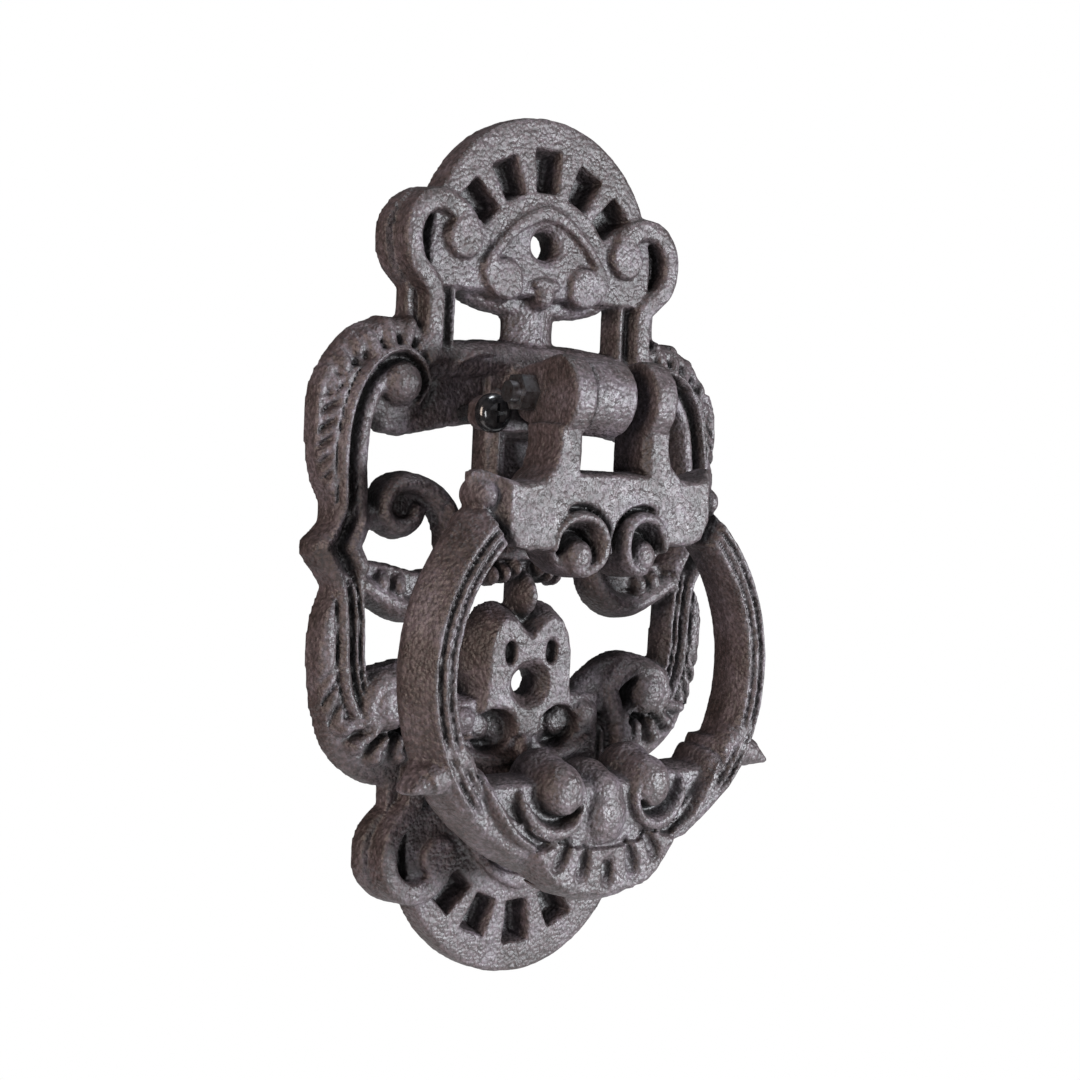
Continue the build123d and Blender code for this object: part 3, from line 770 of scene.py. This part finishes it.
def ring_back(front, x, z):
    """The back of the ring casting: a rounded band behind the front's outline."""
    above = front - lift(z) - PARTING
    radius = np.hypot(x, z - RING_CENTRE_Z)
    full = PARTING - RING_BACK
    band = full * np.sqrt(np.clip(1 - ((radius - 45.6) / 5.7) ** 2, 0, 1))
    rest = full * np.sqrt(np.clip(1 - (1 - np.clip(above / 6.5, 0, 1)) ** 2, 0, 1))
    other = (z > 3) & (np.abs(x) < 37) | (z > -8) & (np.abs(x) < 20) | (z < -44) & (radius < 44)
    depth = np.where(other | (radius > 51.5), rest, np.minimum(band, full))
    depth = np.where(above > 0, depth, 0)
    undercut = 6.0 * fade(radius, 43.0, 41.4) * ~other
    barb = 6.0 * fade(radius, 50.6, 52.6) * (z < -42) * (np.abs(x) > 40)
    return PARTING + lift(z) - depth + barb + undercut - np.clip(above, -4, 0) * 4


def knocker_ring():
    """The swinging casting, with its ears, striker and bores."""
    block = Block((-56, 15, -81), (56, 48.5, 49), RING_STEP)
    x, z = block.relief_grid()
    front = np.maximum(ring_front(x, z), PARTING - 5)
    block.from_relief(front, ring_back(front, x, z))

    def ear(x, y, z):
        flat = eye_distance(y, z, (PIN_HEIGHT, PIN_Z, 6.9), (34.6, 37.3, 9.5))
        neck = np.maximum(np.abs(y - 33.2) - 5.8, np.abs(z - 27) - 6)
        middle, half = (EAR_INNER + EAR_OUTER) / 2, (EAR_OUTER - EAR_INNER) / 2
        return rounded_slice(np.minimum(flat, neck), np.abs(x), middle, half, 1.1)

    def striker(x, y, z):
        return np.maximum(np.hypot(x, z - ANVIL_Z) - 6.5 - (y - 17) * 0.12, 17.4 - y)

    block.blend((-18, 17, 20), (18, 46, 49), ear, 1.2)
    block.blend((-12, 15, -70), (12, 33, -48), striker, 2.5)
    block.blend((-18, 20, 33), (18, 30, 43), bore_along_x(EAR_BORE), 0.2, cut=True)
    return casting("knocker_ring_casting", block, 1, (0.09, 0.14))


# ---------------------------------------------------------------- materials

class Nodes:
    """A short way to write a material's node tree."""

    def __init__(self, name):
        self.material = bpy.data.materials.new(name)
        self.material.use_nodes = True
        self.tree = self.material.node_tree
        self.shader = self.tree.nodes["Principled BSDF"]

    def add(self, kind, settings=None, **inputs):
        node = self.tree.nodes.new(kind)
        for key, value in (settings or {}).items():
            setattr(node, key, value)
        for key, value in inputs.items():
            self.plug(node.inputs[key.replace("_", " ")], value)
        return node

    def plug(self, socket, value):
        if isinstance(value, bpy.types.NodeSocket):
            self.tree.links.new(value, socket)
        else:
            socket.default_value = value

    def noise(self, where, scale, detail=4.0, rough=0.6):
        node = self.add("ShaderNodeTexNoise", Vector=where, Scale=scale, Detail=detail, Roughness=rough)
        return node.outputs["Fac"]

    def ramp(self, value, stops):
        node = self.add("ShaderNodeValToRGB", Fac=value)
        elements = node.color_ramp.elements
        while len(elements) < len(stops):
            elements.new(0.5)
        for element, (place, colour) in zip(elements, stops):
            element.position = place
            element.color = colour if len(colour) == 4 else (*colour, 1)
        return node.outputs["Color"]

    def math(self, operation, a, b):
        node = self.add("ShaderNodeMath", {"operation": operation})
        self.plug(node.inputs[0], a)
        self.plug(node.inputs[1], b)
        return node.outputs[0]

    def mix(self, factor, a, b, blend="MIX"):
        node = self.add("ShaderNodeMix", {"data_type": "RGBA", "blend_type": blend})
        self.plug(node.inputs[0], factor)
        self.plug(node.inputs[6], a)
        self.plug(node.inputs[7], b)
        return node.outputs[2]


def cast_iron():
    """Sand-cast iron in satin brown-black paint, with painted shade darkening its hollows."""
    n = Nodes("cast_iron_paint")
    where = n.add("ShaderNodeTexCoord").outputs["Object"]
    patches = n.noise(where, 90, 5, 0.65)
    specks = n.noise(where, 900, 2, 0.5)
    # Painted shade: an ambient-occlusion mask that finds hollows, creases and pits, where shade falls
    shade_occlusion = n.add("ShaderNodeAmbientOcclusion", {"samples": 6}, Distance=0.006).outputs["AO"]
    base = n.ramp(patches,
                  [(0.36, (0.026, 0.018, 0.017)), (0.50, (0.045, 0.034, 0.035)),
                   (0.66, (0.068, 0.056, 0.062))])
    bright = n.ramp(specks, [(0.40, (0.60, 0.56, 0.56)), (0.64, (1.4, 1.35, 1.42))])
    colour = n.mix(1.0, base, bright, "MULTIPLY")
    # Painted shade: the colour is multiplied darker where the occlusion mask finds hollows and pits
    painted_shade = n.ramp(shade_occlusion, [(0.30, (0.04, 0.036, 0.036)), (0.90, (1, 1, 1))])
    colour = n.mix(1.0, colour, painted_shade, "MULTIPLY")
    n.plug(n.shader.inputs["Base Color"], colour)
    n.shader.inputs["Metallic"].default_value = 0.0
    n.shader.inputs["Specular IOR Level"].default_value = 0.5
    rough = n.ramp(n.noise(where, 260, 4, 0.6), [(0.3, (0.44, 0.44, 0.44)), (0.7, (0.62, 0.62, 0.62))])
    n.plug(n.shader.inputs["Roughness"], rough)
    cells = n.add("ShaderNodeTexVoronoi", {"feature": "SMOOTH_F1"}, Vector=where, Scale=1080,
                  Smoothness=0.5)
    pebble = cells.outputs["Distance"]
    lumps = n.noise(where, 480, 3, 0.55)
    relief = n.math("ADD", n.math("MULTIPLY", pebble, -0.55), n.math("MULTIPLY", lumps, 1.1))
    bump = n.add("ShaderNodeBump", Strength=1.0, Distance=0.0005, Height=relief)
    n.plug(n.shader.inputs["Normal"], bump.outputs["Normal"])
    return n.material


def dark_steel():
    """Dark plated steel, worn bright on its flats."""
    n = Nodes("dark_plated_steel")
    where = n.add("ShaderNodeTexCoord").outputs["Object"]
    wear = n.noise(where, 500, 4, 0.6)
    colour = n.ramp(wear, [(0.35, (0.10, 0.085, 0.085)), (0.65, (0.36, 0.37, 0.39))])
    n.plug(n.shader.inputs["Base Color"], colour)
    n.plug(n.shader.inputs["Roughness"],
           n.ramp(wear, [(0.3, (0.45, 0.45, 0.45)), (0.7, (0.26, 0.26, 0.26))]))
    n.shader.inputs["Metallic"].default_value = 1.0
    bump = n.add("ShaderNodeBump", Strength=0.3, Distance=0.0002, Height=n.noise(where, 1500, 3, 0.6))
    n.plug(n.shader.inputs["Normal"], bump.outputs["Normal"])
    return n.material


def black_screw():
    """Gloss black plating."""
    n = Nodes("black_plated_screw")
    where = n.add("ShaderNodeTexCoord").outputs["Object"]
    wear = n.noise(where, 700, 3, 0.6)
    colour = n.ramp(wear, [(0.4, (0.006, 0.006, 0.007)), (0.7, (0.022, 0.022, 0.024))])
    n.plug(n.shader.inputs["Base Color"], colour)
    n.plug(n.shader.inputs["Roughness"],
           n.ramp(wear, [(0.3, (0.12, 0.12, 0.12)), (0.7, (0.24, 0.24, 0.24))]))
    n.shader.inputs["Specular IOR Level"].default_value = 0.7
    return n.material


def paint(piece, material):
    """Give a piece one material."""
    piece.data.materials.clear()
    piece.data.materials.append(material)


# ---------------------------------------------------------------- stage

CAMERA_AZIMUTH = -34.76
CAMERA_ELEVATION = 2.71
CAMERA_ROLL = 2.55
CAMERA_DISTANCE = 405.5
CAMERA_TARGET = (7.49, 0.0, 2.18)
CAMERA_LENS = 52.99
FLOOR_Z = -0.365
COOL, WARM = (0.90, 0.95, 1.0), (1.0, 0.82, 0.70)


def camera():
    """The camera, in front, to the left and a little above the middle."""
    a, e, r = (math.radians(v) for v in (CAMERA_AZIMUTH, CAMERA_ELEVATION, CAMERA_ROLL))
    back = Vector((math.sin(a) * math.cos(e), -math.cos(a) * math.cos(e), math.sin(e)))
    right = Vector((math.cos(a), math.sin(a), 0))
    up = back.cross(right)
    turned_right = right * math.cos(r) + up * math.sin(r)
    turned_up = up * math.cos(r) - right * math.sin(r)
    place = (Vector(CAMERA_TARGET) + back * CAMERA_DISTANCE) * MM
    turn = Matrix((turned_right, turned_up, back)).transposed().to_4x4()
    data = bpy.data.cameras.new("camera")
    data.lens = CAMERA_LENS
    data.sensor_width = 36.0
    data.clip_start = 0.01
    view = bpy.data.objects.new("camera", data)
    view.matrix_world = Matrix.Translation(place) @ turn
    bpy.context.scene.collection.objects.link(view)
    bpy.context.scene.camera = view


def area_light(name, place, target, size, power, colour=(1, 1, 1)):
    """A soft box that faces a point."""
    data = bpy.data.lights.new(name, "AREA")
    data.shape = "RECTANGLE"
    data.size, data.size_y = size
    data.energy = power
    data.color = colour
    light = bpy.data.objects.new(name, data)
    light.location = place
    light.rotation_euler = (Vector(target) - Vector(place)).to_track_quat("-Z", "Y").to_euler()
    bpy.context.scene.collection.objects.link(light)


def surround():
    """A world that looks white but lights the object only dimly."""
    world = bpy.data.worlds.new("surround")
    world.use_nodes = True
    nodes, links = world.node_tree.nodes, world.node_tree.links
    dim = nodes["Background"]
    dim.inputs["Color"].default_value = (0.92, 0.95, 1.0, 1)
    dim.inputs["Strength"].default_value = 0.075
    white = nodes.new("ShaderNodeBackground")
    white.inputs["Color"].default_value = (1, 1, 1, 1)
    white.inputs["Strength"].default_value = 1.0
    seen = nodes.new("ShaderNodeLightPath")
    choose = nodes.new("ShaderNodeMixShader")
    links.new(seen.outputs["Is Camera Ray"], choose.inputs[0])
    links.new(dim.outputs[0], choose.inputs[1])
    links.new(white.outputs[0], choose.inputs[2])
    links.new(choose.outputs[0], nodes["World Output"].inputs["Surface"])
    bpy.context.scene.world = world


def stage():
    """A round pale floor well below, a white surround and soft boxes."""
    bpy.ops.mesh.primitive_cylinder_add(vertices=96, radius=0.45, depth=0.01, location=(0, 0, FLOOR_Z))
    floor = bpy.context.object
    floor.name = "floor"
    n = Nodes("pale_floor")
    n.shader.inputs["Base Color"].default_value = (0.9, 0.9, 0.9, 1)
    n.shader.inputs["Roughness"].default_value = 0.9
    paint(floor, n.material)
    surround()
    bpy.context.scene.view_settings.view_transform = "Standard"
    area_light("front_box", (0.46, -0.72, -0.02), (0, 0, -0.03), (0.20, 0.20), 20, COOL)
    area_light("front_left_box", (-0.42, -0.78, -0.05), (0, 0, -0.03), (0.12, 0.30), 2.5, (0.95, 0.97, 1.0))
    area_light("left_box", (-0.75, -0.20, 0.10), (0, 0, 0), (0.25, 0.50), 5.5, WARM)
    area_light("top_box", (0.05, -0.15, 0.8), (0, 0, 0), (0.25, 0.20), 4, COOL)


# ---------------------------------------------------------------- assembly

iron = cast_iron()
plate = back_plate()
paint(plate, iron)
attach(plate, "plate")
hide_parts("back_plate")

ring = knocker_ring()
paint(ring, iron)
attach(ring, "ring")
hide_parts("knocker_ring")

for node, look in (("hinge_bolt", dark_steel), ("hinge_nut", dark_steel), ("fixing_screw", black_screw)):
    paint(frame["nodes"][node], look())

camera()
stage()

for piece in (plate, ring):
    print(piece.name, len(piece.data.polygons) * 2, "triangles")
